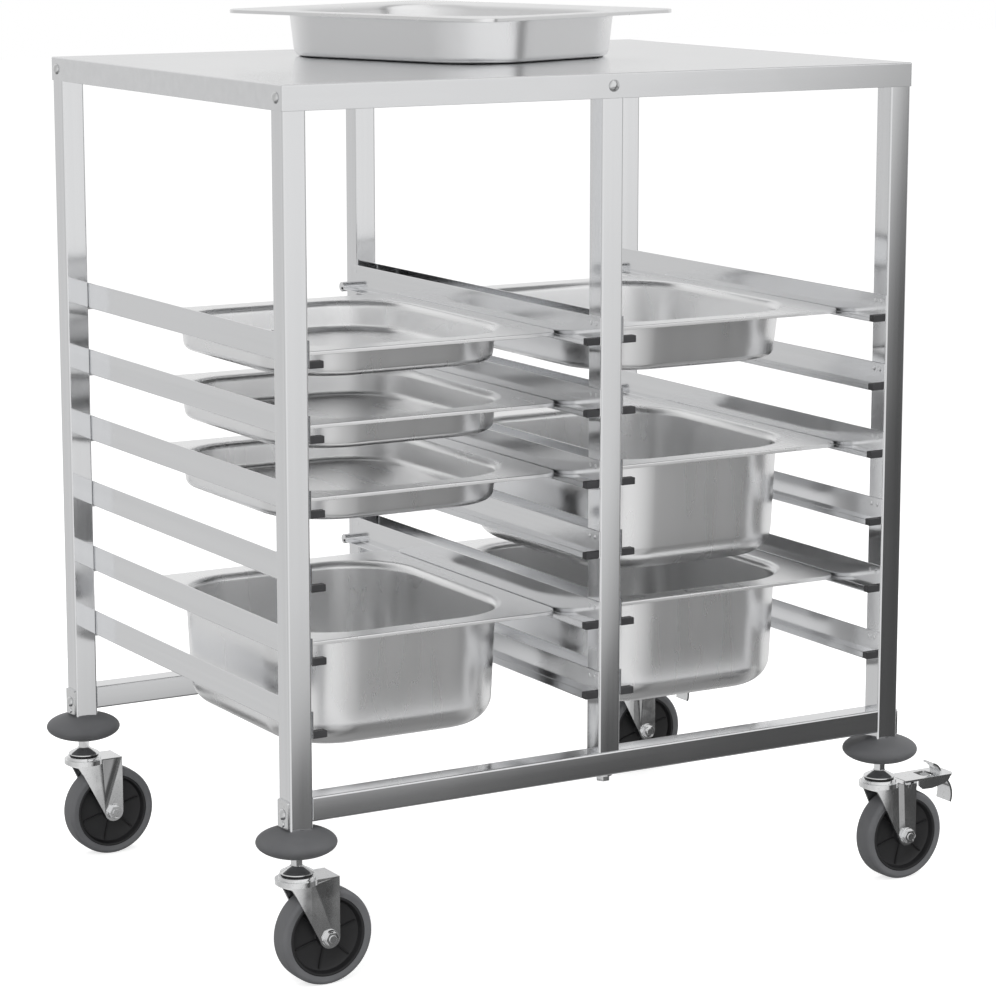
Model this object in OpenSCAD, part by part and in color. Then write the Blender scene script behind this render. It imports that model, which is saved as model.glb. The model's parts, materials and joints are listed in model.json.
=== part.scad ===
// Two-bay tray trolley with six tray levels, a work surface and four swivel casters.
// Units are millimetres, +Z is up, and the front faces -Y.
// The origin lies on the floor, under the middle of the whole trolley's box.

/* [Frame] */
// Width over the outer faces of the legs
frame_w = 735; // [700:1:800]
// Depth over the outer faces of the legs
frame_d = 550; // [520:1:650]
// Height of the work surface above the floor
table_h = 890; // [860:1:960]
// Side of the square tube used for legs and rails
tube = 25; // [24:1:27]
// Wall of the square tube
tube_wall = 1.2; // [1:0.1:1.8]
// Outer corner radius of the square tube
tube_r = 2; // [1.5:0.1:3]
// Gap from the bumper top to the underside of the lower rails
rail_lift = 6; // [3:1:30]

/* [Work surface] */
// Thickness of the steel sheet
sheet = 1; // [0.8:0.1:2]
// Height of the apron folded down round the sheet
apron_h = 25; // [22:1:40]

/* [Runners] */
// Height of the lowest shelf above the top of the lower rails
shelf_rise = 59.8; // [50:0.1:75]
// Distance from one shelf to the next
level_pitch = 73; // [70:1:76]
// Sheet thickness of a runner
runner_t = 1.2; // [1:0.1:1.4]
// Width of a runner's shelf from the leg's face
shelf_w = 16.5; // [14:0.5:20]
// Height of the upright web above the shelf
web_h = 26.5; // [20:0.5:30]
// Distance that a runner stops short of the back face of the legs
runner_back_gap = 13; // [8:1:16]
// Height of the dark stop on the front end of a shelf
stop_h = 6; // [5:0.5:8]
// Length of the dark stop, front to back
stop_l = 8; // [6:1:12]
// Diameter of the round bar across the rear end of a shelf
end_bar_d = 11; // [9:0.5:12]

/* [Trays] */
// Gap between a tray's rim and the web of a runner
tray_side_gap = 1.3; // [0.5:0.1:2.5]
// Length of a tray, front to back
tray_l = 371; // [330:1:390]
// Distance from the front of the legs to the rim of a tray
tray_front = 73; // [40:1:90]
// Sheet thickness of a tray
tray_t = 1; // [0.8:0.1:1.2]
// Height of a tray's turned-down rim
rim_h = 4; // [3:0.5:6]
// Outer corner radius of a tray's rim
rim_r = 20; // [12:1:28]
// Distance from the outside of the rim to the top of the tray's wall
tray_land = 30; // [26:1:34]
// Radius of the bend from the rim into the wall
tray_bend = 9; // [5:1:11]
// Corner radius of a tray's wall, in plan
tray_corner = 76; // [60:1:82]
// Depth of the shallow trays
depth_shallow = 33; // [28:1:50]
// Depth of the medium tray
depth_medium = 54; // [45:1:62]
// Depth of the deep trays
depth_deep = 125; // [90:1:128]
// Depth of the tray on the work surface
depth_top = 50; // [40:1:100]
// Turn of the tray on the work surface, in degrees
top_tray_turn = 20; // [0:1:40]

/* [Bumpers] */
// Diameter of a bumper disc
bumper_d = 81; // [70:1:95]
// Thickness of a bumper disc
bumper_t = 30; // [26:1:34]
// Depth of the square socket that holds the foot of a leg
socket_h = 3; // [2:0.5:5]

/* [Casters] */
// Diameter of a wheel
wheel_d = 100; // [90:1:110]
// Width of a wheel
wheel_w = 25; // [22:1:26]
// Radial thickness of the rubber tyre
tyre_t = 9; // [7:0.5:11]
// Distance from the swivel axis to the axle
trail = 28; // [26:1:32]
// Sheet thickness of a fork
fork_t = 2.5; // [2:0.1:3]
// Gap between the wheel and each side of the fork
fork_gap = 1.5; // [1:0.1:2.5]
// Half the width of a fork's side at the axle
fork_end_r = 11; // [9.5:0.5:13]
// Radius of the round crown of a fork
crown_r = 22; // [21:0.5:24]
// Gap between the tread and the underside of a fork's crown
tread_gap = 9; // [8:0.5:12]
// Diameter of the axle
axle_d = 8; // [6:1:10]
// Diameter of the threaded stem
stem_d = 10; // [8:1:11]
// Height of the stem's nut between the swivel head and the bumper
neck_h = 9; // [6:0.5:14]

/* [Brake] */
// Distance from the swivel axis to the tip of the pedal
pedal_reach = 92; // [84:1:105]
// Diameter of the pedal's pivot pin
pedal_pin_d = 5; // [4:0.5:6]

/* [Fasteners] */
// Diameter of a dome bolt's head
dome_d = 12; // [10:0.5:14]
// Diameter of a dome bolt's shank
dome_bolt_d = 6; // [5:0.5:7]

/* [Hidden] */
$fn = 48;

// Clearances
run_clear = 0.05;
bolt_clear = 0.1;
fit_clear = 0.15;
move_clear = 0.4;
rest_gap = 0.2;
cut = 1;

// Positions in plan, before the shift to the middle of the box
x_shift = (bumper_d / 2 - pedal_reach) / 2;
leg_x = frame_w / 2 - tube / 2;
leg_y = frame_d / 2 - tube / 2;
bay_w = (frame_w - 3 * tube) / 2;
bay_x = tube / 2 + bay_w / 2;
CORNERS = [[-leg_x, -leg_y], [leg_x, -leg_y], [-leg_x, leg_y], [leg_x, leg_y]];

// Heights of the caster, from the floor up
wheel_r = wheel_d / 2;
crown_under = wheel_d + tread_gap;
fork_top = crown_under + fork_t + 0.5;
crown_top = fork_top + 3.5;
race_top = fork_top + 5.5;
head_rim = fork_top + 7.3;
head_top = fork_top + 13;
bumper_z = head_top + neck_h;
bumper_mid = bumper_z + bumper_t / 2;
leg_foot = bumper_z + bumper_t - socket_h - 0.5;
rail_z = bumper_z + bumper_t + rail_lift;
rail_top = rail_z + tube;
leg_top = table_h - sheet;
insert_h = 30;
rail_mid = rail_z + tube / 2;
rail_bolt_drop = 4;
rail_bolt_z = rail_mid - rail_bolt_drop;
stem_top = rail_bolt_z - dome_bolt_d / 2 - 1.5;

// Plan of a caster
hub_r = wheel_r - tyre_t;
cheek_in = wheel_w / 2 + fork_gap;
cheek_out = cheek_in + fork_t;
fork_end_x = trail + fork_end_r;
nose_x = trail - fork_end_r;
nose_reach = crown_r + nose_x - 0.5;

// Swivel head and its bearing
race_r = 9;
cap_r = 17;
ring_in = 16.1;
ring_out = ring_in - move_clear;
collar_r = 19;

// Brake
pivot_x = trail + 2;
pivot_z = fork_top - 7;
pedal_start = crown_r + 2;
cheek_cut = 4.5;

// Runners
runner_l = frame_d - runner_back_gap;
end_bar_z = 2;
function shelf_z(level) = rail_top + shelf_rise + (6 - level) * level_pitch;

// Trays
tray_w = bay_w - 2 * runner_t - 2 * tray_side_gap;
tray_y = -frame_d / 2 + tray_front + tray_l / 2;
draft_deep = 2.6;
draft_shallow = 6.5;
foot_deep = 28;
foot_shallow = 8;
top_tray_x = 13;
top_tray_y = 76;
ARC_STEPS = 6;

// Bolts
dome_z = table_h - apron_h / 2;
dome_h = dome_d * 0.27;
dome_sphere = (dome_d * dome_d / 4 + dome_h * dome_h) / (2 * dome_h);
washer_d = 20;
hex_h = 5.5;

// Side plates
side_plate_t = 2.5;
side_plate_w = 22;
side_plate_h = 28;
side_plate_z = bumper_z + bumper_t + 0.5;

// Points of an arc about a centre, from one angle to another
function arc(cx, cz, r, a0, a1, n = ARC_STEPS) =
    [for (i = [0:n]) [cx + r * cos(a0 + (a1 - a0) * i / n), cz + r * sin(a0 + (a1 - a0) * i / n)]];

// Moves a sub-part from the trolley's own middle to the part's origin
module placed() {
    translate([x_shift, 0, 0]) children();
}

// Square with round corners, drawn about its middle
module round_square(w, d, r) {
    square([w - 2 * r, d], center = true);
    square([w, d - 2 * r], center = true);
    for (sx = [-1, 1], sy = [-1, 1]) {
        translate([sx * (w / 2 - r), sy * (d / 2 - r)]) circle(r);
    }
}

// Hollow square tube along +Z
module square_tube(length) {
    linear_extrude(length) difference() {
        round_square(tube, tube, tube_r);
        round_square(tube - 2 * tube_wall, tube - 2 * tube_wall, tube_r - tube_wall);
    }
}

// Round hole through a wall, along X
module hole_x(d, length) {
    rotate([0, 90, 0]) cylinder(d = d, h = length, center = true);
}

// Round hole through a wall, along Y
module hole_y(d, length) {
    rotate([90, 0, 0]) cylinder(d = d, h = length, center = true);
}

// Sheet folded down on all four sides, over the top of the legs
module table_top() {
    top_w = frame_w + 2 * sheet;
    top_d = frame_d + 2 * sheet;
    color("gainsboro") placed() difference() {
        translate([-top_w / 2, -top_d / 2, table_h - apron_h]) cube([top_w, top_d, apron_h]);
        translate([-frame_w / 2, -frame_d / 2, table_h - apron_h - cut]) {
            cube([frame_w, frame_d, apron_h - sheet + cut]);
        }
        for (y = [-leg_y, leg_y]) {
            translate([0, y, dome_z]) hole_x(dome_bolt_d + 2 * bolt_clear, top_w + 2 * cut);
        }
        translate([0, 0, dome_z]) hole_y(dome_bolt_d + 2 * bolt_clear, top_d + 2 * cut);
    }
}

// Corner leg, with holes for the apron bolt on its outer side and for the rail bolt
module corner_leg(x, y) {
    side = sign(x);
    color("gainsboro") placed() translate([x, y, 0]) difference() {
        translate([0, 0, leg_foot]) square_tube(leg_top - leg_foot);
        translate([side * tube / 2, 0, dome_z]) hole_x(dome_bolt_d + 2 * bolt_clear, tube);
        translate([0, 0, rail_bolt_z]) hole_x(dome_bolt_d + 2 * bolt_clear, 2 * tube);
    }
}

// Middle leg, which stands on the lower rail
module middle_leg(y) {
    side = sign(y);
    color("gainsboro") placed() translate([0, y, 0]) difference() {
        translate([0, 0, rail_top]) square_tube(leg_top - rail_top);
        translate([0, side * tube / 2, dome_z]) hole_y(dome_bolt_d + 2 * bolt_clear, tube);
    }
}

// Lower rail between two corner legs, bored for the middle leg's bolt
module rail(y) {
    rail_l = frame_w - 2 * tube;
    color("gainsboro") placed() translate([0, y, rail_mid]) difference() {
        translate([-rail_l / 2, 0, 0]) rotate([0, 90, 0]) square_tube(rail_l);
        cylinder(d = axle_d + 2 * bolt_clear, h = 2 * tube, center = true);
    }
}

// One runner with its web against x = 0: a shelf at its foot, and a round bar on a low step across
// the rear end
module runner() {
    y_front = -frame_d / 2;
    shelf_y = y_front + stop_l + fit_clear;
    bar_y = frame_d / 2 - runner_back_gap - end_bar_d / 2;
    translate([0, y_front, -runner_t]) cube([runner_t, runner_l, runner_t + web_h]);
    translate([0, shelf_y, -runner_t]) cube([shelf_w, bar_y - shelf_y, runner_t]);
    translate([0, bar_y - end_bar_d / 2, -runner_t]) {
        cube([shelf_w, end_bar_d / 2, runner_t + end_bar_z]);
    }
    translate([0, bar_y, end_bar_z]) rotate([0, 90, 0]) cylinder(d = end_bar_d, h = shelf_w);
}

// The two runners that carry one tray level in one bay
module runner_pair(bay, level) {
    color("silver") placed() translate([bay * bay_x, 0, shelf_z(level)]) {
        translate([-bay_w / 2, 0, 0]) runner();
        translate([bay_w / 2, 0, 0]) mirror([1, 0, 0]) runner();
    }
}

// Dark stops in front of the shelves' ends, as deep as the sheet below and higher than a rim above
module runner_stops() {
    stop_w = shelf_w - runner_t - fit_clear;
    color("#3a3a3c") placed() for (bay = [-1, 1], level = [1:6], side = [-1, 1]) {
        x_mid = bay * bay_x - side * (bay_w / 2 - shelf_w + stop_w / 2);
        translate([x_mid - stop_w / 2, -frame_d / 2, shelf_z(level) - runner_t]) {
            cube([stop_w, stop_l, stop_h + runner_t]);
        }
    }
}

// Threaded blocks inside the tubes: leg feet, rail ends and middle leg feet
module tube_inserts() {
    side = tube - 2 * tube_wall - 2 * fit_clear;
    color("dimgray") placed() {
        for (c = CORNERS) {
            difference() {
                translate([c[0], c[1], leg_foot]) insert_block(side, insert_h, stem_d);
                translate([c[0], c[1], rail_bolt_z]) hole_x(dome_bolt_d + 2 * bolt_clear, 2 * tube);
            }
            translate([c[0] - sign(c[0]) * (tube / 2), c[1], rail_mid]) {
                rotate([0, -sign(c[0]) * 90, 0]) {
                    insert_block(side, insert_h, dome_bolt_d, -sign(c[0]) * rail_bolt_drop);
                }
            }
        }
        for (y = [-leg_y, leg_y]) {
            translate([0, y, rail_top]) insert_block(side, insert_h, axle_d);
        }
    }
}

// Square block along +Z with a bore for a bolt or stem
module insert_block(side, length, bore_d, bore_x = 0) {
    difference() {
        linear_extrude(length) round_square(side, side, 1.2);
        translate([bore_x, 0, -cut]) cylinder(d = bore_d + 2 * bolt_clear, h = length + 2 * cut);
    }
}

// Bolt with a low dome head, its shank along -Z and its head standing on z = 0
module dome_bolt(length) {
    translate([0, 0, -length]) cylinder(d = dome_bolt_d, h = length + dome_h / 2);
    intersection() {
        translate([0, 0, dome_h - dome_sphere]) sphere(dome_sphere);
        cylinder(d = dome_d + 1, h = dome_h + 1);
    }
}

// Dome bolts that hold the apron to the legs and the corner legs to the rails
module dome_bolts() {
    apron_bolt_l = sheet + tube_wall + 6;
    rail_bolt_l = side_plate_t + tube + 18;
    color("lightgray") placed() {
        for (sx = [-1, 1], y = [-leg_y, leg_y]) {
            translate([sx * (frame_w / 2 + sheet), y, dome_z]) {
                rotate([0, sx * 90, 0]) dome_bolt(apron_bolt_l);
            }
            translate([sx * (frame_w / 2 + side_plate_t), y, rail_bolt_z]) {
                rotate([0, sx * 90, 0]) dome_bolt(rail_bolt_l);
            }
        }
        for (sy = [-1, 1]) {
            translate([0, sy * (frame_d / 2 + sheet), dome_z]) {
                rotate([-sy * 90, 0, 0]) dome_bolt(apron_bolt_l);
            }
        }
    }
}

// Hexagon bolts with washers that hold the middle legs to the rails from below
module middle_leg_bolts() {
    washer_t = 2;
    color("lightgray") placed() for (y = [-leg_y, leg_y]) {
        translate([0, y, rail_z - washer_t]) {
            cylinder(d = washer_d, h = washer_t);
            translate([0, 0, -hex_h]) cylinder(r = axle_d * 0.94, h = hex_h + washer_t / 2, $fn = 6);
            cylinder(d = axle_d, h = washer_t + tube + insert_h - 6);
        }
    }
}

// Plates under the rail bolts on the corner legs' outer faces, with a boss below the bolt
module side_plates() {
    color("silver") placed() for (c = CORNERS) {
        side = sign(c[0]);
        translate([c[0] + side * (tube + side_plate_t) / 2, c[1], 0]) difference() {
            union() {
                translate([0, 0, side_plate_z + side_plate_h / 2]) rotate([0, 90, 0]) {
                    linear_extrude(side_plate_t, center = true) {
                        round_square(side_plate_h, side_plate_w, 2);
                    }
                }
                translate([0, 0, side_plate_z + 4.2]) rotate([0, side * 90, 0]) {
                    cylinder(r1 = 3.8, r2 = 2.8, h = side_plate_t / 2 + 1.2);
                }
            }
            translate([0, 0, rail_bolt_z]) hole_x(dome_bolt_d + 2 * bolt_clear, 4 * side_plate_t);
        }
    }
}

// Thick rubber disc round the foot of a leg, with a square socket and a bore for the stem
module bumper(c) {
    rim = bumper_d / 2;
    half = bumper_t / 2 + 0.5;
    color("dimgray") placed() translate([c[0], c[1], bumper_mid]) difference() {
        intersection() {
            rotate_extrude() polygon(concat([[0, -half]],
                [for (a = [-90:7.5:90]) [rim * cos(a), half * sin(a)]], [[0, half]]));
            translate([0, 0, -bumper_t / 2]) cylinder(r = rim + cut, h = bumper_t);
        }
        translate([-tube / 2 - fit_clear, -tube / 2 - fit_clear, leg_foot - bumper_mid]) {
            cube([tube + 2 * fit_clear, tube + 2 * fit_clear, bumper_t]);
        }
        cylinder(d = stem_d + 2 * bolt_clear, h = 2 * bumper_t, center = true);
    }
}

// Fixed half of the swivel: stem, nut, cap over the bearing, and king pin with a riveted end
module swivel_head(c) {
    pin_r = stem_d / 2;
    rivet_r = 8;
    rivet_top = crown_under - move_clear;
    color("silver") placed() translate([c[0], c[1], 0]) {
        rotate_extrude() polygon([[0, rivet_top - 3], [rivet_r - 1.5, rivet_top - 3],
            [rivet_r, rivet_top - 1.5], [rivet_r, rivet_top], [pin_r, rivet_top],
            [pin_r, race_top], [cap_r, race_top], [cap_r, head_rim - 0.7],
            [cap_r - 0.9, head_rim], [7.4, head_top - 1.2], [6.6, head_top], [0, head_top]]);
        translate([0, 0, head_top - 1]) cylinder(r = 6.4, h = neck_h + 1, $fn = 6);
        translate([0, 0, head_top]) cylinder(d = stem_d, h = stem_top - head_top);
    }
}

// Rings that cage the balls between head and fork, with an edge that shows under the cap
module swivel_bearings() {
    foot = fork_top + move_clear;
    color("#202020") placed() for (c = CORNERS) {
        translate([c[0], c[1], 0]) rotate_extrude() {
            polygon([[race_r, foot], [ring_out, foot], [ring_out, race_top], [race_r, race_top]]);
        }
    }
}

// Half of a fork's outline in plan: a full round nose that runs into straight sides
function nose(half_w, reach, n = 14) =
    [for (i = [0:n]) let (a = 90 * i / n)
        [nose_x - reach * pow(sin(a), 2 / 3), half_w * pow(cos(a), 2 / 3)]];

module fork_plan(half_w, reach, end_x) {
    side = nose(half_w, reach);
    polygon(concat([[end_x, half_w]], side,
        [for (i = [len(side) - 2:-1:0]) [side[i][0], -side[i][1]]], [[end_x, -half_w]]));
}

// Side view of a fork: under the crown it runs slanting down to the round end at the axle
module fork_profile(top) {
    translate([trail, wheel_r]) circle(fork_end_r);
    polygon([[-crown_r - cut, top], [-crown_r - cut, fork_top - 5], [-crown_r + 10, fork_top - 8],
        [-crown_r + 14, fork_top - 15], [nose_x + 0.6, wheel_r - 3.4], [trail, wheel_r],
        [fork_end_x, wheel_r], [fork_end_x, top]]);
}

// Pressed fork that swivels under the head and holds the axle
module fork(c, braked = false) {
    color("silver") placed() translate([c[0], c[1], 0]) difference() {
        union() {
            intersection() {
                translate([0, 0, wheel_r - fork_end_r - cut]) {
                    linear_extrude(fork_top - wheel_r + fork_end_r + cut) difference() {
                        fork_plan(cheek_out, nose_reach, fork_end_x);
                        fork_plan(cheek_in, nose_reach - fork_t, fork_end_x + cut);
                    }
                }
                rotate([90, 0, 0]) linear_extrude(3 * crown_r, center = true) {
                    fork_profile(fork_top);
                }
            }
            translate([0, 0, crown_under]) linear_extrude(fork_top - crown_under) union() {
                circle(crown_r);
                translate([0, -cheek_out]) square([fork_end_x, 2 * cheek_out]);
            }
            rotate_extrude() {
                polygon([[crown_r - fork_t, fork_top - 5], [crown_r, fork_top - 5],
                    [crown_r, fork_top - 1], [crown_r - fork_t, fork_top - 1]]);
                polygon([[ring_in, fork_top - 1], [collar_r, fork_top - 1],
                    [collar_r, crown_top - 1.3], [collar_r - 0.5, crown_top - 0.4],
                    [collar_r - 1.4, crown_top], [ring_in, crown_top]]);
            }
        }
        cylinder(d = stem_d + 2 * run_clear, h = 4 * crown_top, center = true);
        translate([trail, 0, wheel_r]) hole_y(axle_d + 2 * run_clear, 4 * cheek_out);
        if (braked) {
            translate([pedal_start - 1, -crown_r, fork_top - cheek_cut]) {
                cube([2 * crown_r, 2 * crown_r, crown_r]);
            }
            translate([pivot_x, 0, pivot_z]) hole_y(pedal_pin_d + 2 * run_clear, 4 * cheek_out);
        }
    }
}

// Axle bolt through the fork, with a flanged hexagon head and nut
module axle(c) {
    flange_t = 1.6;
    color("silver") placed() translate([c[0] + trail, c[1], wheel_r]) rotate([90, 0, 0]) {
        cylinder(d = axle_d, h = 2 * cheek_out + 13, center = true);
        for (s = [-1, 1]) {
            translate([0, 0, s * (cheek_out + flange_t / 2)]) {
                cylinder(d = axle_d * 2.2, h = flange_t, center = true);
            }
            translate([0, 0, s * (cheek_out + flange_t + 1.5)]) {
                cylinder(r = axle_d * 0.94, h = 5, center = true, $fn = 6);
            }
        }
    }
}

// Grey rubber tyre with round shoulders
module tyre(c) {
    half = wheel_w / 2;
    shoulder = 3.5;
    color("gray") placed() translate([c[0] + trail, c[1], wheel_r]) rotate([90, 0, 0]) {
        rotate_extrude($fn = 96) polygon(concat([[hub_r, -half + 0.5]],
            arc(wheel_r - shoulder, -half + shoulder, shoulder, -90, 0),
            arc(wheel_r - shoulder, half - shoulder, shoulder, 0, 90), [[hub_r, half - 0.5]]));
    }
}

// Black wheel centre: rim, web, boss and ribs, bored for the axle
module hub(c) {
    half = wheel_w / 2 - 0.5;
    rim_in = hub_r - 5;
    web_half = 4.5;
    boss_r = 10;
    rib_half = 7;
    color("#1c1c1c") placed() translate([c[0] + trail, c[1], wheel_r]) rotate([90, 0, 0]) {
        difference() {
            union() {
                rotate_extrude($fn = 96) polygon([[0, -cheek_in + 0.6], [boss_r, -cheek_in + 0.6],
                    [boss_r, -web_half], [rim_in, -web_half], [rim_in, -half],
                    [hub_r - run_clear, -half], [hub_r - run_clear, half], [rim_in, half],
                    [rim_in, web_half], [boss_r, web_half], [boss_r, cheek_in - 0.6],
                    [0, cheek_in - 0.6]]);
                for (a = [0:60:300]) {
                    rotate(a) translate([boss_r - 1, -1, -rib_half]) {
                        cube([rim_in - boss_r + 2, 2, 2 * rib_half]);
                    }
                }
            }
            cylinder(d = axle_d + 2 * run_clear, h = 4 * wheel_w, center = true);
        }
    }
}

// Side view of the pedal's folded edge
module pedal_cheek() {
    edge_x = fork_end_x + 4;
    polygon([[edge_x, fork_top], [edge_x, fork_top - 8], [edge_x + 5, fork_top - 12.5],
        [edge_x + 17, fork_top - 13], [pedal_reach - 15, fork_top - 10],
        [pedal_reach - 9, fork_top - 6.5], [pedal_reach - 5, fork_top]]);
}

// Brake pedal: a plate level with the fork's crown, a tab cut from it, a foot lobe, a shoe and a pin
module pedal(c) {
    plate_t = 2.4;
    tip_r = 9;
    ear_in = 9;
    ear_out = cheek_in - move_clear;
    tab_x = pedal_reach - 22;
    color("silver") placed() translate([c[0], c[1], 0]) {
        translate([0, 0, fork_top - plate_t]) linear_extrude(plate_t) difference() {
            union() {
                translate([pedal_start, -cheek_out]) {
                    square([pedal_reach - tip_r - pedal_start, 2 * cheek_out]);
                }
                for (s = [-1, 1]) {
                    translate([pedal_reach - tip_r, s * (cheek_out - tip_r)]) circle(tip_r);
                }
                translate([pedal_reach - tip_r, tip_r - cheek_out]) {
                    square([tip_r, 2 * (cheek_out - tip_r)]);
                }
            }
            translate([tab_x - 9, 0]) round_square(17, 18.6, 3);
        }
        for (s = [-1, 1]) {
            translate([0, s * (cheek_out - fork_t / 2), 0]) rotate([90, 0, 0]) {
                linear_extrude(fork_t, center = true) pedal_cheek();
            }
            translate([pivot_x, s * (ear_in + ear_out) / 2, 0]) rotate([90, 0, 0]) {
                linear_extrude(ear_out - ear_in, center = true) {
                    translate([0, pivot_z]) circle(pedal_pin_d / 2 + 0.9);
                    translate([-pedal_pin_d / 2 - 0.9, pivot_z]) {
                        square([pedal_pin_d + 1.8, fork_top - 1 - pivot_z]);
                    }
                }
            }
        }
        translate([pivot_x, 0, pivot_z]) hole_y(pedal_pin_d, 2 * cheek_out);
        pedal_tab(tab_x);
        pedal_lobe();
        pedal_shoe();
    }
}

// Curved tab that stands up from the plate, pushed to release the brake
module pedal_tab(tab_x) {
    tab_w = 18;
    rotate([90, 0, 0]) translate([0, 0, -tab_w / 2]) linear_extrude(tab_w) {
        polygon(concat([[tab_x + 9, fork_top - 1]], arc(tab_x - 6, fork_top - 2, 15, 4, 78),
            arc(tab_x - 6, fork_top - 2, 12.6, 78, 4)));
    }
}

// Curved lobe that hangs from the tip, pressed to lock the brake
module pedal_lobe() {
    lobe_w = 24;
    lobe_cx = pedal_reach - 26;
    lobe_cz = fork_top - 25;
    rotate([90, 0, 0]) translate([0, 0, -lobe_w / 2]) linear_extrude(lobe_w) {
        polygon(concat(arc(lobe_cx, lobe_cz, 26, -20, 70, 9), arc(lobe_cx, lobe_cz, 23.4, 70, -20, 9)));
    }
}

// Shoe under the plate that meets the tread when the pedal goes down
module pedal_shoe() {
    shoe_w = 18;
    shoe_x = trail + 13;
    shoe_under = wheel_r + sqrt(pow(wheel_r + 3.4, 2) - pow(15, 2));
    translate([shoe_x, -shoe_w / 2, shoe_under]) cube([5, shoe_w, fork_top - 1 - shoe_under]);
}

// Cross-section of a tray's wall and floor strip, measured outwards from the corner's centre
module tray_section(depth, draft, foot_r) {
    t = tray_t;
    bend_x = tray_corner + tray_bend;
    wall_run = (depth - tray_bend - foot_r) * sin(draft);
    foot_x = bend_x - (foot_r + tray_bend - t + wall_run) / cos(draft);
    polygon(concat(
        [[0, -depth]],
        arc(foot_x, foot_r - depth, foot_r, -90, -draft),
        arc(bend_x, -tray_bend, tray_bend - t, 180 - draft, 90),
        [[bend_x + 1, -t], [bend_x + 1, 0]],
        arc(bend_x, -tray_bend, tray_bend, 90, 180 - draft),
        arc(foot_x, foot_r - depth, foot_r - t, -draft, -90),
        [[0, t - depth]]));
}

// Pressed tray with a flat land and a turned-down rim that rests on z = 0
module tray_shell(depth, draft, foot_r) {
    half_x = tray_w / 2 - tray_land - tray_corner;
    half_y = tray_l / 2 - tray_land - tray_corner;
    bend_x = tray_corner + tray_bend;
    translate([0, 0, rim_h]) {
        for (sx = [-1, 1], sy = [-1, 1]) {
            translate([sx * half_x, sy * half_y, 0]) intersection() {
                rotate_extrude() tray_section(depth, draft, foot_r);
                translate([sx < 0 ? -2 * bend_x : 0, sy < 0 ? -2 * bend_x : 0, -2 * depth]) {
                    cube([2 * bend_x, 2 * bend_x, 3 * depth]);
                }
            }
        }
        for (s = [-1, 1]) {
            translate([s * half_x, 0, 0]) rotate([90, 0, s < 0 ? 180 : 0]) {
                linear_extrude(2 * half_y, center = true) tray_section(depth, draft, foot_r);
            }
            translate([0, s * half_y, 0]) rotate([90, 0, s * 90]) {
                linear_extrude(2 * half_x, center = true) tray_section(depth, draft, foot_r);
            }
        }
        translate([-half_x, -half_y, -depth]) cube([2 * half_x, 2 * half_y, tray_t]);
        translate([0, 0, -tray_t]) linear_extrude(tray_t) difference() {
            round_square(tray_w, tray_l, rim_r);
            round_square(2 * (half_x + bend_x), 2 * (half_y + bend_x), bend_x);
        }
    }
    linear_extrude(rim_h) difference() {
        round_square(tray_w, tray_l, rim_r);
        round_square(tray_w - 2 * tray_t, tray_l - 2 * tray_t, rim_r - tray_t);
    }
}

// Tray that hangs by its rim on the runners of one level
module bay_tray(bay, level, depth) {
    deep = depth > 80;
    color("lightsteelblue") placed() translate([bay * bay_x, tray_y, shelf_z(level)]) {
        tray_shell(depth, deep ? draft_deep : draft_shallow, deep ? foot_deep : foot_shallow);
    }
}

// Loose tray that stands on the work surface
module top_tray() {
    rim_z = table_h + rest_gap + depth_top - rim_h;
    color("lightsteelblue") placed() translate([top_tray_x, top_tray_y, rim_z]) {
        rotate(top_tray_turn) tray_shell(depth_top, draft_shallow, foot_shallow);
    }
}

table_top();
corner_leg(-leg_x, -leg_y);  // leg_front_left
middle_leg(-leg_y);  // leg_front_middle
corner_leg(leg_x, -leg_y);  // leg_front_right
corner_leg(-leg_x, leg_y);  // leg_back_left
middle_leg(leg_y);  // leg_back_middle
corner_leg(leg_x, leg_y);  // leg_back_right
rail(-leg_y);  // rail_front
rail(leg_y);  // rail_back
runner_pair(-1, 1);  // runners_left_1
runner_pair(-1, 2);  // runners_left_2
runner_pair(-1, 3);  // runners_left_3
runner_pair(-1, 4);  // runners_left_4
runner_pair(-1, 5);  // runners_left_5
runner_pair(-1, 6);  // runners_left_6
runner_pair(1, 1);  // runners_right_1
runner_pair(1, 2);  // runners_right_2
runner_pair(1, 3);  // runners_right_3
runner_pair(1, 4);  // runners_right_4
runner_pair(1, 5);  // runners_right_5
runner_pair(1, 6);  // runners_right_6
runner_stops();
tube_inserts();
dome_bolts();
middle_leg_bolts();
side_plates();
bumper(CORNERS[0]);  // bumper_front_left
bumper(CORNERS[1]);  // bumper_front_right
bumper(CORNERS[2]);  // bumper_back_left
bumper(CORNERS[3]);  // bumper_back_right
swivel_head(CORNERS[0]);  // head_front_left
swivel_head(CORNERS[1]);  // head_front_right
swivel_head(CORNERS[2]);  // head_back_left
swivel_head(CORNERS[3]);  // head_back_right
swivel_bearings();
fork(CORNERS[0]);  // fork_front_left
fork(CORNERS[1], braked = true);  // fork_front_right
fork(CORNERS[2]);  // fork_back_left
fork(CORNERS[3], braked = true);  // fork_back_right
axle(CORNERS[0]);  // axle_front_left
axle(CORNERS[1]);  // axle_front_right
axle(CORNERS[2]);  // axle_back_left
axle(CORNERS[3]);  // axle_back_right
tyre(CORNERS[0]);  // tyre_front_left
tyre(CORNERS[1]);  // tyre_front_right
tyre(CORNERS[2]);  // tyre_back_left
tyre(CORNERS[3]);  // tyre_back_right
hub(CORNERS[0]);  // hub_front_left
hub(CORNERS[1]);  // hub_front_right
hub(CORNERS[2]);  // hub_back_left
hub(CORNERS[3]);  // hub_back_right
pedal(CORNERS[1]);  // pedal_front_right
pedal(CORNERS[3]);  // pedal_back_right
bay_tray(-1, 1, depth_shallow);  // tray_left_1
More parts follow.
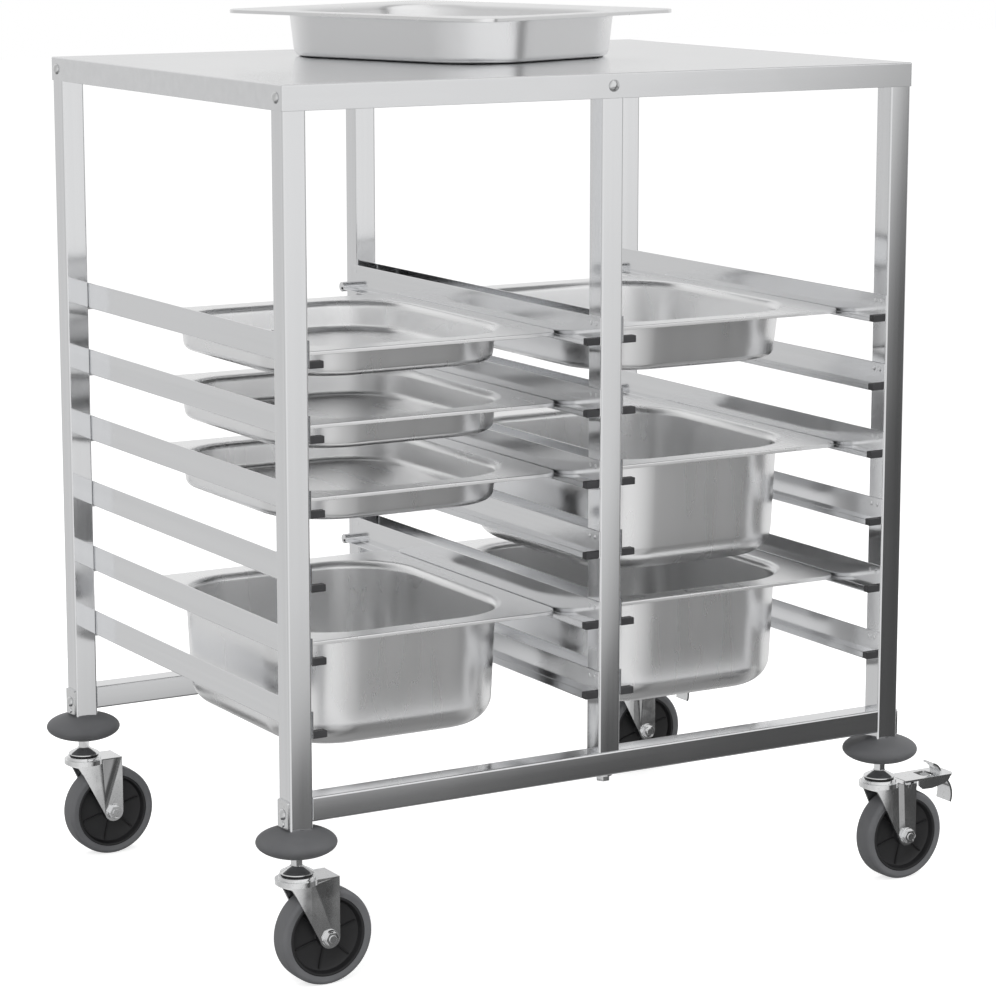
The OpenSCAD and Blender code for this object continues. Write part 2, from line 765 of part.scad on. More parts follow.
bay_tray(-1, 2, depth_shallow);  // tray_left_2
bay_tray(-1, 3, depth_shallow);  // tray_left_3
bay_tray(-1, 5, depth_deep);  // tray_left_5
bay_tray(1, 1, depth_medium);  // tray_right_1
bay_tray(1, 3, depth_deep);  // tray_right_3
bay_tray(1, 5, depth_deep);  // tray_right_5
top_tray();  // tray_top
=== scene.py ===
"""Dresses the tray trolley: stainless frame, pressed trays, plated casters and grey rubber."""
import json
import math

import bmesh
import bpy
import numpy as np
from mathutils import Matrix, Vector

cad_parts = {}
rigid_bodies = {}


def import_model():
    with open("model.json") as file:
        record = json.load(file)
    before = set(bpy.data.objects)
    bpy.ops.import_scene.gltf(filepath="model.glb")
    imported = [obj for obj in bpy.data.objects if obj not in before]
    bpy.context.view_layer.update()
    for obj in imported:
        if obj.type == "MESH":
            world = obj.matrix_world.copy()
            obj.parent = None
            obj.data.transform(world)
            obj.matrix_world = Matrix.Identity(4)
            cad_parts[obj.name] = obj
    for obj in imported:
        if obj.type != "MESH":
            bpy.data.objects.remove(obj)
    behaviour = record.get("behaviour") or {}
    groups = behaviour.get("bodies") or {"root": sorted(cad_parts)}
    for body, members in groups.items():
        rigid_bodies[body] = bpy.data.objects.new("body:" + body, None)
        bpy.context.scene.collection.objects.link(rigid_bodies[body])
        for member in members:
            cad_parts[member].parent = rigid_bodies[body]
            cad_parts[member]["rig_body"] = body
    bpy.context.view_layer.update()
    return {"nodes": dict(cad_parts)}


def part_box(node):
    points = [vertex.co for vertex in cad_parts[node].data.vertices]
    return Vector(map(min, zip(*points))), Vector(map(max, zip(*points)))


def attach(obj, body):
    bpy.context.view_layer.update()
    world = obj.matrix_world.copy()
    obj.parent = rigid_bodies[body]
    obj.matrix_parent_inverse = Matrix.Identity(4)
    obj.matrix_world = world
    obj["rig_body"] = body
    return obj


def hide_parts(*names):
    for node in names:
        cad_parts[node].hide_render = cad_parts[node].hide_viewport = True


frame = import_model()

MM = 0.001
NODES = frame["nodes"]
CORNERS = ("front_left", "front_right", "back_left", "back_right")
LEVELS = [(bay, level) for bay in ("left", "right") for level in range(1, 7)]

# Points nearer than this are merged, in new pieces and in copies of CAD nodes.
PIECE_MERGE = 1e-6
COPY_MERGE = 2e-6
# Edges over these angles, in degrees, stay sharp in a piece and are eased in a copy.
PIECE_CREASE = 32
COPY_CREASE = 30

# Sizes are in metres, and places come from the frame.
# Work surface and tubes: sheet, folds, and the small round along a cut edge.
SHEET = 1 * MM
FOLD = 1.6 * MM
CUT_EDGE = 0.25 * MM
TUBE_ROUND = 2 * MM
TUBE_WALL = 1.2 * MM
# Runners, with the round bar over the shelf's rear end and the stop at its front end.
RUNNER_SHEET = 1.2 * MM
SHELF_WIDTH = 16.5 * MM
END_BAR_RADIUS = 5.5 * MM
END_BAR_RISE = 2 * MM
STOP_LENGTH = 8 * MM
STOP_HEIGHT = 6 * MM
STOP_GAP = 0.15 * MM
# Bolts with dome heads, and the boss on a side plate that a rail bolt goes through.
DOME_RADIUS = 6 * MM
DOME_HEIGHT = 3.24 * MM
SHANK_RADIUS = 3 * MM
APRON_SHANK = 8 * MM
RAIL_SHANK = 45 * MM
RAIL_BOLT_DROP = 4 * MM
BOSS_HEIGHT = 1.2 * MM
# Trays. The land is the flat border between the bend and the rim.
TRAY_SHEET = 1 * MM
TRAY_LAND = 30 * MM
TRAY_BEND = 9 * MM
TRAY_CORNER = 76 * MM
TRAY_WAVE = 0.12 * MM
FLOOR_RISE = 0.25 * MM
RIM_HEIGHT = 4 * MM
RIM_CORNER = 20 * MM
RIM_FOLD = 1.2 * MM
# A tray's form: how far its wall leans, in degrees, and the radius at the wall's foot.
SHALLOW_FORM = (6.5, 8 * MM)
DEEP_FORM = (2.6, 28 * MM)
DEEP_TRAY_FROM = 80 * MM
TOP_TRAY_TURN = math.radians(20)
# Bumpers and wheels.
BUMPER_RECESS = 12.7 * MM
BUMPER_RECESS_DEPTH = 3 * MM
BUMPER_HOLE = 5.2 * MM
HUB_RADIUS = 41 * MM
HUB_GAP = 0.05 * MM
HUB_BORE = 4.05 * MM
HUB_RIBS = 6


def node_box(node):
    """The low corner, the high corner and the middle of a CAD node, as arrays in metres."""
    low, high = (np.array(corner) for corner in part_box(node))
    return low, high, (low + high) / 2


# Shapes. A shell is an array of points and a list of faces.

def grid_quads(rows, cols, wrap_rows):
    """Four-sided faces of a grid numbered row by row, whose last column joins the first.

    With wrap_rows the last row joins the first too.
    """
    row = np.arange(rows if wrap_rows else rows - 1)
    row, col = np.meshgrid(row, np.arange(cols), indexing="ij")
    next_row, next_col = (row + 1) % rows, (col + 1) % cols
    corners = [row * cols + col, row * cols + next_col,
               next_row * cols + next_col, next_row * cols + col]
    return np.stack(corners, axis=-1).reshape(-1, 4)


def surface(points, wrap_rows=False, capped=False):
    """A shell over a grid of points, shaped rows x columns x 3; caps close the first and last rows."""
    rows, cols = points.shape[:2]
    faces = grid_quads(rows, cols, wrap_rows).tolist()
    if capped:
        faces.append(list(range(cols)))
        faces.append(list(range((rows - 1) * cols, rows * cols)))
    return points.reshape(-1, 3), faces


def joined(shells):
    """One shell out of several, with each one's faces counted on from the points before it."""
    points, faces, start = [], [], 0
    for shell_points, shell_faces in shells:
        points.append(shell_points)
        faces += [[start + i for i in face] for face in shell_faces]
        start += len(shell_points)
    return np.concatenate(points), faces


def moved(shell, offset):
    """A shell carried by an offset."""
    return shell[0] + np.asarray(offset), shell[1]


def along(shell, axis):
    """A shell made along +Z, laid so that its length runs along another axis, signed as in -X."""
    points = shell[0]
    sign = -1.0 if axis[0] == "-" else 1.0
    x, y, z = points[:, 0], points[:, 1], points[:, 2] * sign
    order = {"X": (z, x, y), "Y": (x, z, y), "Z": (x, y, z)}[axis[-1]]
    return np.stack(order, axis=-1), shell[1]


def arc(centre, radius, start, end, steps):
    """Points on a circle in a section's plane, from one angle to another, in degrees."""
    angle = np.radians(np.linspace(start, end, steps + 1))
    return np.stack([centre[0] + radius * np.cos(angle), centre[1] + radius * np.sin(angle)], axis=-1)


def turned(profile, steps, closed=False):
    """Surface of revolution about Z: each profile point (radius, height) goes round in equal steps.

    In a closed profile the last point joins the first.
    """
    profile = np.asarray(profile, float)
    angle = np.linspace(0, 2 * np.pi, steps, endpoint=False)
    x = profile[:, :1] * np.cos(angle)
    y = profile[:, :1] * np.sin(angle)
    z = np.broadcast_to(profile[:, 1:], x.shape)
    return surface(np.stack([x, y, z], axis=-1), wrap_rows=closed)


def about_z(angle):
    """A turn about Z, as the matrix that an array of points is multiplied by."""
    cos, sin = math.cos(angle), math.sin(angle)
    return np.array([[cos, sin, 0], [-sin, cos, 0], [0, 0, 1]])


def rounded_rings(half_x, half_y, corner, height, arc_steps, side_steps):
    """Stacked rectangles with round corners, one for each entry of the arrays.

    Each corner is a quarter circle of its radius about a centre that lies that radius inside both
    sides, and straight sides run from each quarter to the next in equal steps.
    """
    half_x, half_y, corner, height = (
        np.asarray(v, float)[:, None] for v in np.broadcast_arrays(half_x, half_y, corner, height))
    sign_x, sign_y = (1, -1, -1, 1), (1, 1, -1, -1)
    quarter = np.radians(np.linspace(0, 90, arc_steps + 1))
    arcs = []
    for k in range(4):
        turn = quarter + k * np.pi / 2
        x = sign_x[k] * (half_x - corner) + corner * np.cos(turn)
        y = sign_y[k] * (half_y - corner) + corner * np.sin(turn)
        arcs.append(np.stack([x, y], axis=-1))
    share = np.linspace(0, 1, side_steps + 1)[1:-1][None, :, None]
    parts = []
    for k in range(4):
        here, there = arcs[k][:, -1:], arcs[(k + 1) % 4][:, :1]
        parts += [arcs[k], here + (there - here) * share]
    flat = np.concatenate(parts, axis=1)
    return np.concatenate([flat, np.broadcast_to(height[:, :, None], flat.shape[:2] + (1,))], axis=-1)


def square_tube(side, length):
    """Tube along +Z with round edges.

    Outside wall, end, inside wall and other end form one closed band.
    """
    half, inner = side / 2, side / 2 - TUBE_WALL
    rows = [(half - CUT_EDGE, 0), (half, CUT_EDGE), (half, length - CUT_EDGE), (half - CUT_EDGE, length),
            (inner, length), (inner, 0)]
    sizes = np.array([row[0] for row in rows])
    corner = np.maximum(TUBE_ROUND - (half - sizes), 0.4 * MM)
    points = rounded_rings(sizes, sizes, corner, [row[1] for row in rows], arc_steps=6, side_steps=2)
    return surface(points, wrap_rows=True)


def prism(outline, length):
    """A closed outline carried along +Z from 0 to its length, with both ends closed."""
    outline = np.asarray(outline, float)
    low = np.concatenate([outline, np.zeros((len(outline), 1))], axis=1)
    return surface(np.stack([low, low + [0, 0, length]]), capped=True)


def pillow(size_x, size_y, length, corner, ease):
    """A block along +Z with round upright edges and eased ends that close at their middles."""
    half_x, half_y = size_x / 2, size_y / 2
    middle, step = min(half_x, half_y) - corner, 0.3 * ease
    inset = np.array([middle, ease, step, 0, 0, step, ease, middle])
    height = np.array([0, 0, step, ease, length - ease, length - step, length, length])
    corner = np.maximum(corner - inset, 0.2 * corner)
    rings = rounded_rings(half_x - inset, half_y - inset, corner, height, arc_steps=4, side_steps=2)
    return surface(rings, capped=True)


# Pieces.

def link(name, mesh, finish, body, node):
    """Puts a mesh into the scene as a piece of one body, in place of a CAD node."""
    mesh.materials.clear()
    mesh.materials.append(finish)
    made = bpy.data.objects.new(name, mesh)
    bpy.context.scene.collection.objects.link(made)
    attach(made, body)
    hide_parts(node)
    return made


def smooth_below(mesh, crease):
    """Smooth shading but for edges over an angle in degrees."""
    mesh.shade_smooth()
    mesh.set_sharp_from_angle(angle=math.radians(crease))


def piece(name, shell, finish, body, node):
    """A piece from a shell: doubles merged, faces outwards, and normals that flat faces lead."""
    mesh = bpy.data.meshes.new(name)
    mesh.from_pydata(shell[0].tolist(), [], shell[1])
    work = bmesh.new()
    work.from_mesh(mesh)
    bmesh.ops.remove_doubles(work, verts=work.verts, dist=PIECE_MERGE)
    bmesh.ops.dissolve_degenerate(work, edges=work.edges, dist=PIECE_MERGE)
    bmesh.ops.recalc_face_normals(work, faces=work.faces)
    work.to_mesh(mesh)
    work.free()
    smooth_below(mesh, PIECE_CREASE)
    made = link(name, mesh, finish, body, node)
    flat = made.modifiers.new("flat faces lead", "WEIGHTED_NORMAL")
    flat.mode = "FACE_AREA"
    flat.weight = 100
    flat.keep_sharp = True


def eased_copy(name, node, finish, ease=0.35 * MM):
    """A copy of a CAD node with merged points, flat areas freed of inner edges, and eased edges."""
    mesh = NODES[node].data.copy()
    mesh.name = name
    work = bmesh.new()
    work.from_mesh(mesh)
    bmesh.ops.remove_doubles(work, verts=work.verts, dist=COPY_MERGE)
    bmesh.ops.dissolve_limit(work, angle_limit=math.radians(1), verts=work.verts, edges=work.edges)
    work.to_mesh(mesh)
    work.free()
    smooth_below(mesh, COPY_CREASE)
    made = link(name, mesh, finish, NODES[node]["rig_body"], node)
    bevel = made.modifiers.new("eased edges", "BEVEL")
    bevel.width = ease
    bevel.segments = 2
    bevel.limit_method = "ANGLE"
    bevel.angle_limit = math.radians(COPY_CREASE)
    bevel.use_clamp_overlap = True
    bevel.harden_normals = True


# Materials.

def group_with(name, inputs, outputs):
    """An empty node group with named number or vector inputs and number outputs."""
    made = bpy.data.node_groups.new(name, "ShaderNodeTree")
    for socket, kind, value in inputs:
        item = made.interface.new_socket(socket, in_out="INPUT", socket_type=kind)
        item.default_value = value
    for socket in outputs:
        made.interface.new_socket(socket, in_out="OUTPUT", socket_type="NodeSocketFloat")
    return made, made.nodes.new("NodeGroupInput"), made.nodes.new("NodeGroupOutput")


def feed(tree, value, socket):
    """Links another node's output to a socket, or sets the socket to a number, vector or colour."""
    if isinstance(value, bpy.types.NodeSocket):
        tree.links.new(value, socket)
    else:
        socket.default_value = value


def noise(tree, vector, scale, detail, distortion=0.0):
    """A noise texture read at a vector."""
    node = tree.nodes.new("ShaderNodeTexNoise")
    feed(tree, vector, node.inputs["Vector"])
    feed(tree, scale, node.inputs["Scale"])
    node.inputs["Detail"].default_value = detail
    node.inputs["Distortion"].default_value = distortion
    return node.outputs["Fac"]


def stretch(tree, value, low, high, to_low=0.0, to_high=1.0):
    """A value carried from one range to another, and kept inside it."""
    node = tree.nodes.new("ShaderNodeMapRange")
    feed(tree, value, node.inputs["Value"])
    for socket, number in zip(("From Min", "From Max", "To Min", "To Max"), (low, high, to_low, to_high)):
        node.inputs[socket].default_value = number
    return node.outputs["Result"]


def maths(tree, operation, first, second):
    """Two values through one arithmetic step."""
    node = tree.nodes.new("ShaderNodeMath")
    node.operation = operation
    for value, socket in zip((first, second), node.inputs):
        feed(tree, value, socket)
    return node.outputs[0]


def scaled(tree, vector, factors):
    """A vector with each part multiplied by its own factor."""
    node = tree.nodes.new("ShaderNodeVectorMath")
    node.operation = "MULTIPLY"
    for value, socket in zip((vector, factors), node.inputs):
        feed(tree, value, socket)
    return node.outputs[0]


def blended(tree, blend, share, first, second):
    """Two colours through one blend, by a share from 0 to 1."""
    node = tree.nodes.new("ShaderNodeMix")
    node.data_type = "RGBA"
    node.blend_type = blend
    for value, socket in zip((share, first, second), ("Factor", "A", "B")):
        feed(tree, value, node.inputs[socket])
    return node.outputs["Result"]


def make_grain_group():
    """Fine parallel scratches and long soft streaks: two noises stretched along the brushing."""
    tree, given, result = group_with("brushed grain", [
        ("Vector", "NodeSocketVector", (0, 0, 0)),
        ("Lines per metre", "NodeSocketVector", (900, 900, 8))], ["Height", "Streaks"])
    lines = scaled(tree, given.outputs["Vector"], given.outputs["Lines per metre"])
    fine = noise(tree, lines, 1.0, 2.0)
    broad = noise(tree, scaled(tree, lines, (0.13, 0.13, 0.13)), 1.0, 3.0)
    both = maths(tree, "ADD", maths(tree, "MULTIPLY", fine, 0.7), maths(tree, "MULTIPLY", broad, 0.3))
    tree.links.new(both, result.inputs["Height"])
    tree.links.new(stretch(tree, broad, 0.3, 0.7), result.inputs["Streaks"])
    return tree


def make_handling_group():
    """Marks of use: wide clouds where hands and cloths have passed, and small scattered spots."""
    tree, given, result = group_with("handling marks", [
        ("Vector", "NodeSocketVector", (0, 0, 0)),
        ("Cloud scale", "NodeSocketFloat", 6.0),
        ("Spot scale", "NodeSocketFloat", 90.0)], ["Clouds", "Spots"])
    cloud = noise(tree, given.outputs["Vector"], given.outputs["Cloud scale"], 4.0, 0.6)
    spot = noise(tree, given.outputs["Vector"], given.outputs["Spot scale"], 2.0)
    tree.links.new(stretch(tree, cloud, 0.35, 0.65), result.inputs["Clouds"])
    tree.links.new(stretch(tree, spot, 0.6, 0.75), result.inputs["Spots"])
    return tree


def make_pebble_group():
    """Moulded skin: fine pebbles over a slow swell, as on rubber and cast plastic."""
    tree, given, result = group_with("moulded skin", [
        ("Vector", "NodeSocketVector", (0, 0, 0)),
        ("Pebble scale", "NodeSocketFloat", 1400.0)], ["Height", "Patches"])
    pebble = noise(tree, given.outputs["Vector"], given.outputs["Pebble scale"], 3.0)
    patch = noise(tree, given.outputs["Vector"], 35.0, 4.0)
    tree.links.new(pebble, result.inputs["Height"])
    tree.links.new(stretch(tree, patch, 0.35, 0.65), result.inputs["Patches"])
    return tree


GRAIN = make_grain_group()
HANDLING = make_handling_group()
PEBBLE = make_pebble_group()


def new_material(name):
    """A material with its Principled shader, its tree and the Object coordinates."""
    made = bpy.data.materials.new(name)
    made.use_nodes = True
    tree = made.node_tree
    shader = tree.nodes["Principled BSDF"]
    coords = tree.nodes.new("ShaderNodeTexCoord").outputs["Object"]
    return made, tree, shader, coords


def place_group(tree, group, coords, **values):
    """One of the shared groups in a material, reading the coordinates, with its own values."""
    node = tree.nodes.new("ShaderNodeGroup")
    node.node_tree = group
    tree.links.new(coords, node.inputs["Vector"])
    for socket, value in values.items():
        node.inputs[socket.replace("_", " ")].default_value = value
    return node


def tinted(tree, shader, mask, first, second):
    """Base colour that goes from one tone to another with a mask."""
    tone = blended(tree, "MIX", mask, (*first, 1), (*second, 1))
    tree.links.new(tone, shader.inputs["Base Color"])


def bumped(tree, shader, height, strength, distance):
    """A bump from a height, feeding the shader's normal."""
    bump = tree.nodes.new("ShaderNodeBump")
    bump.inputs["Strength"].default_value = strength
    bump.inputs["Distance"].default_value = distance
    tree.links.new(height, bump.inputs["Height"])
    tree.links.new(bump.outputs["Normal"], shader.inputs["Normal"])


def steel(name, lines, tones, gloss, relief, turn=None):
    """Stainless steel: grain along one direction, and handling marks that dull it a little.

    lines are scratches per metre along X, Y and Z, tones the dark and light colours, gloss the lowest
    and highest roughness, relief the strength of the grain's bump, and turn an optional turn of the
    grain about Z.
    """
    made, tree, shader, coords = new_material(name)
    if turn is not None:
        mapping = tree.nodes.new("ShaderNodeMapping")
        mapping.vector_type = "TEXTURE"
        mapping.inputs["Rotation"].default_value = (0, 0, turn)
        tree.links.new(coords, mapping.inputs["Vector"])
        coords = mapping.outputs["Vector"]
    grain = place_group(tree, GRAIN, coords, Lines_per_metre=lines)
    marks = place_group(tree, HANDLING, coords)
    shader.inputs["Metallic"].default_value = 1.0
    spread = gloss[1] - gloss[0]
    streaks = stretch(tree, grain.outputs["Streaks"], 0, 1, 0.0, 0.6 * spread)
    clouds = stretch(tree, marks.outputs["Clouds"], 0, 1, gloss[0], gloss[0] + 0.4 * spread)
    tree.links.new(maths(tree, "ADD", streaks, clouds), shader.inputs["Roughness"])
    tinted(tree, shader, grain.outputs["Streaks"], *tones)
    bumped(tree, shader, grain.outputs["Height"], relief, 0.1 * MM)
    return made


def plated(name, tone, gloss):
    """Zinc or nickel plating: bright, with faint clouds and a few small spots."""
    made, tree, shader, coords = new_material(name)
    marks = place_group(tree, HANDLING, coords, Cloud_scale=40.0, Spot_scale=400.0)
    shader.inputs["Metallic"].default_value = 1.0
    tree.links.new(stretch(tree, marks.outputs["Clouds"], 0, 1, *gloss), shader.inputs["Roughness"])
    darker = tuple(0.86 * part for part in tone)
    tinted(tree, shader, marks.outputs["Spots"], tone, darker)
    bumped(tree, shader, marks.outputs["Clouds"], 0.04, 0.2 * MM)
    return made


def moulded(name, dark, light, gloss, relief):
    """Rubber or plastic with a moulded skin and slightly uneven colour."""
    made, tree, shader, coords = new_material(name)
    skin = place_group(tree, PEBBLE, coords, Pebble_scale=1400.0)
    tinted(tree, shader, skin.outputs["Patches"], dark, light)
    tree.links.new(stretch(tree, skin.outputs["Patches"], 0, 1, *gloss), shader.inputs["Roughness"])
    bumped(tree, shader, skin.outputs["Height"], relief, 0.2 * MM)
    return made


FRAME_TONES = ((0.82, 0.825, 0.835), (0.86, 0.865, 0.875))
TRAY_TONES = ((0.97, 0.972, 0.975), (0.98, 0.982, 0.985))
UPRIGHT_STEEL = steel("upright steel", (700, 700, 5), FRAME_TONES, (0.06, 0.10), 0.003)
CROSS_STEEL = steel("cross rail steel", (5, 700, 700), FRAME_TONES, (0.08, 0.12), 0.003)
RUNNER_STEEL = steel("runner steel", (700, 5, 700), FRAME_TONES, (0.10, 0.17), 0.012)
TABLE_STEEL = steel("table steel", (5, 700, 700), FRAME_TONES, (0.12, 0.19), 0.012)
TRAY_STEEL = steel("tray steel", (300, 12, 40), TRAY_TONES, (0.26, 0.3), 0.003)
TURNED_TRAY_STEEL = steel("turned tray steel", (300, 12, 40), TRAY_TONES, (0.26, 0.3), 0.003,
                          TOP_TRAY_TURN)
PLATING = plated("caster plating", (0.84, 0.845, 0.85), (0.06, 0.14))
BOLT_PLATING = plated("bolt plating", (0.78, 0.785, 0.79), (0.1, 0.2))
BUMPER_RUBBER = moulded("bumper rubber", (0.105, 0.107, 0.112), (0.125, 0.127, 0.132), (0.5, 0.65), 0.12)
TYRE_RUBBER = moulded("tyre rubber", (0.12, 0.122, 0.128), (0.145, 0.147, 0.153), (0.5, 0.65), 0.12)
HUB_PLASTIC = moulded("hub plastic", (0.01, 0.01, 0.011), (0.015, 0.015, 0.016), (0.45, 0.58), 0.08)
STOP_PLASTIC = moulded("stop plastic", (0.03, 0.03, 0.032), (0.045, 0.045, 0.048), (0.4, 0.55), 0.1)


# The work surface.

def sheet_with_apron(low, high):
    """A sheet folded down on four sides.

    Its section runs from the middle of the top out over the fold, down the apron, round its cut edge,
    and back underneath. Each point of the section becomes a rectangle with small round corners.
    """
    half_x, half_y = (high[:2] - low[:2]) / 2
    reach = min(half_x, half_y)
    height = high[2] - low[2]
    section = [(reach * share, 0) for share in (1.0, 0.75, 0.5, 0.25, 0.06)]
    section += [(FOLD - FOLD * math.sin(a), FOLD - FOLD * math.cos(a))
                for a in np.radians(np.linspace(0, 90, 7))]
    section += [(0, height - CUT_EDGE), (CUT_EDGE, height), (SHEET - CUT_EDGE, height),
                (SHEET, height - CUT_EDGE), (SHEET, FOLD + SHEET), (FOLD, SHEET)]
    section += [(reach * share, SHEET) for share in (0.25, 0.75, 1.0)]
    inset, drop = np.array(section).T
    corner = np.clip(FOLD - inset, 0.0, None)
    rings = rounded_rings(half_x - inset, half_y - inset, corner, high[2] - drop, arc_steps=5, side_steps=8)
    middle = (low + high) / 2
    return moved(surface(rings), (middle[0], middle[1], 0))


low, high, _ = node_box("table_top")
piece("work_surface", sheet_with_apron(low, high), TABLE_STEEL, "frame", "table_top")


# Legs and rails.

def place_tube(name, node, finish, axis):
    """A square tube that fills a CAD node's box, along the node's long axis."""
    low, high, middle = node_box(node)
    k = "XYZ".index(axis)
    side = (high - low)[(k + 1) % 3]
    start = middle.copy()
    start[k] = low[k]
    shell = moved(along(square_tube(side, high[k] - low[k]), axis), start)
    piece(name, shell, finish, "frame", node)


for place in ("front_left", "front_middle", "front_right", "back_left", "back_middle", "back_right"):
    place_tube("upright_" + place, "leg_" + place, UPRIGHT_STEEL, "Z")
for place in ("front", "back"):
    place_tube("cross_rail_" + place, "rail_" + place, CROSS_STEEL, "X")


# Runners.

def runner_outline(web_height):
    """Outline of one folded strip, with the shelf's top on 0.

    It runs up the web's outside, down its inside, round the inner bend, out along the shelf, round its
    edge and back underneath.
    """
    t, ease = RUNNER_SHEET, 0.3 * MM
    inner_bend, outer_bend = 0.5 * MM, 1.4 * MM
    parts = [[[0, web_height - ease], [ease, web_height], [t - ease, web_height], [t, web_height - ease]],
             arc((t + inner_bend, inner_bend), inner_bend, 180, 270, 4),
             [[SHELF_WIDTH - ease, 0], [SHELF_WIDTH, -ease],
              [SHELF_WIDTH, ease - t], [SHELF_WIDTH - ease, -t]],
             arc((outer_bend, outer_bend - t), outer_bend, -90, -180, 5)]
    return np.concatenate([np.asarray(part, float) for part in parts])


def end_bar():
    """A round bar along +Z with eased ends: a rectangle turned about Z."""
    radius, ease = END_BAR_RADIUS, 0.5 * MM
    return turned([(0, 0), (radius - ease, 0), (radius, ease), (radius, SHELF_WIDTH - ease),
                   (radius - ease, SHELF_WIDTH), (0, SHELF_WIDTH)], 36)


def weld_dots(length, web_height):
    """Small spot-weld dimples near both ends of a web, as low domes on its inner face."""
    profile = [(2.4 * MM, 0), (2.0 * MM, 0.18 * MM), (1.2 * MM, 0.3 * MM), (0, 0.34 * MM)]
    dome = along(turned(profile, 16), "X")
    height = web_height - 7 * MM
    return [moved(dome, (RUNNER_SHEET, y, height)) for y in (8 * MM, 18 * MM, length - 12 * MM)]


def runner_shells(length, web_height):
    """One runner whose web stands on x = 0 and whose shelf reaches towards +X, front end on y = 0.

    The shelf starts behind the stop and ends in a low step under the round bar; the web goes on.
    """
    points, faces = along(prism(runner_outline(web_height), length - END_BAR_RADIUS), "Y")
    front_of_shelf = (points[:, 1] < STOP_LENGTH) & (points[:, 0] > RUNNER_SHEET + 0.05 * MM)
    points[front_of_shelf, 1] = STOP_LENGTH + STOP_GAP
    ease = 0.3 * MM
    web = pillow(RUNNER_SHEET, END_BAR_RADIUS, web_height + RUNNER_SHEET, ease, ease)
    web = moved(web, (RUNNER_SHEET / 2, length - END_BAR_RADIUS / 2, -RUNNER_SHEET))
    bar = moved(along(end_bar(), "X"), (0, length - END_BAR_RADIUS, END_BAR_RISE))
    step = pillow(SHELF_WIDTH, END_BAR_RADIUS, RUNNER_SHEET + END_BAR_RISE, ease, ease)
    step = moved(step, (SHELF_WIDTH / 2, length - 1.5 * END_BAR_RADIUS, -RUNNER_SHEET))
    return joined([(points, faces), web, step, bar] + weld_dots(length, web_height))


def runner_place(bay, level):
    """The low corner, the high corner and the shelf's height of one pair of runners."""
    low, high, _ = node_box(f"runners_{bay}_{level}")
    return low, high, low[2] + END_BAR_RADIUS - END_BAR_RISE


for bay, level in LEVELS:
    low, high, shelf = runner_place(bay, level)
    points, faces = runner_shells(high[1] - low[1], high[2] - shelf)
    left = (points + [low[0], low[1], shelf], faces)
    right = (points * [-1, 1, 1] + [high[0], low[1], shelf], faces)
    piece(f"tray_runners_{bay}_{level}", joined([left, right]), RUNNER_STEEL, "frame",
          f"runners_{bay}_{level}")


def stop_shells():
    """The dark stops in front of the shelves' ends: a block from the sheet's underside to above a rim."""
    width = SHELF_WIDTH - RUNNER_SHEET - STOP_GAP
    block = along(pillow(width, STOP_HEIGHT + RUNNER_SHEET, STOP_LENGTH, 0.8 * MM, 0.5 * MM), "Y")
    shells = []
    for bay, level in LEVELS:
        low, high, shelf = runner_place(bay, level)
        for x in (low[0] + SHELF_WIDTH - width / 2, high[0] - SHELF_WIDTH + width / 2):
            shells.append(moved(block, (x, low[1], shelf + (STOP_HEIGHT - RUNNER_SHEET) / 2)))
    return shells


piece("runner_front_stops", joined(stop_shells()), STOP_PLASTIC, "frame", "runner_stops")


# Bolts.

def dome_bolt(shank, axis):
    """Dome head on z = 0 with its shank below: an arc of a large circle with a soft rim."""
    top = [(DOME_RADIUS * math.sin(a), DOME_HEIGHT * math.cos(a) ** 1.2)
           for a in np.radians(np.linspace(0, 84, 10))]
    under = [(DOME_RADIUS, 0.35 * MM), (DOME_RADIUS - 0.2 * MM, 0), (SHANK_RADIUS, 0),
             (SHANK_RADIUS, -shank), (0, -shank)]
    return along(turned(top + under, 40), axis)


def frame_bolts():
    """Dome bolts on the apron's four sides and on the plates of the corner legs."""
    low, high, middle = node_box("table_top")
    plates_low, plates_high, _ = node_box("side_plates")
    rail_z = node_box("rail_front")[2][2] - RAIL_BOLT_DROP
    centre_x = node_box("leg_front_middle")[2][0]
    shells = []
    for node in ("leg_front_left", "leg_back_left"):
        y = node_box(node)[2][1]
        shells.append(moved(dome_bolt(APRON_SHANK, "-X"), (low[0], y, middle[2])))
        shells.append(moved(dome_bolt(APRON_SHANK, "X"), (high[0], y, middle[2])))
        shells.append(moved(dome_bolt(RAIL_SHANK, "-X"), (plates_low[0] + BOSS_HEIGHT, y, rail_z)))
        shells.append(moved(dome_bolt(RAIL_SHANK, "X"), (plates_high[0] - BOSS_HEIGHT, y, rail_z)))
    shells.append(moved(dome_bolt(APRON_SHANK, "-Y"), (centre_x, low[1], middle[2])))
    shells.append(moved(dome_bolt(APRON_SHANK, "Y"), (centre_x, high[1], middle[2])))
    return shells


piece("frame_dome_bolts", joined(frame_bolts()), BOLT_PLATING, "frame", "dome_bolts")
eased_copy("middle_leg_bolts_and_washers", "middle_leg_bolts", BOLT_PLATING)
eased_copy("leg_side_plates", "side_plates", BOLT_PLATING, 0.4 * MM)
NODES["tube_inserts"].data.materials.clear()
NODES["tube_inserts"].data.materials.append(STOP_PLASTIC)


# Trays.

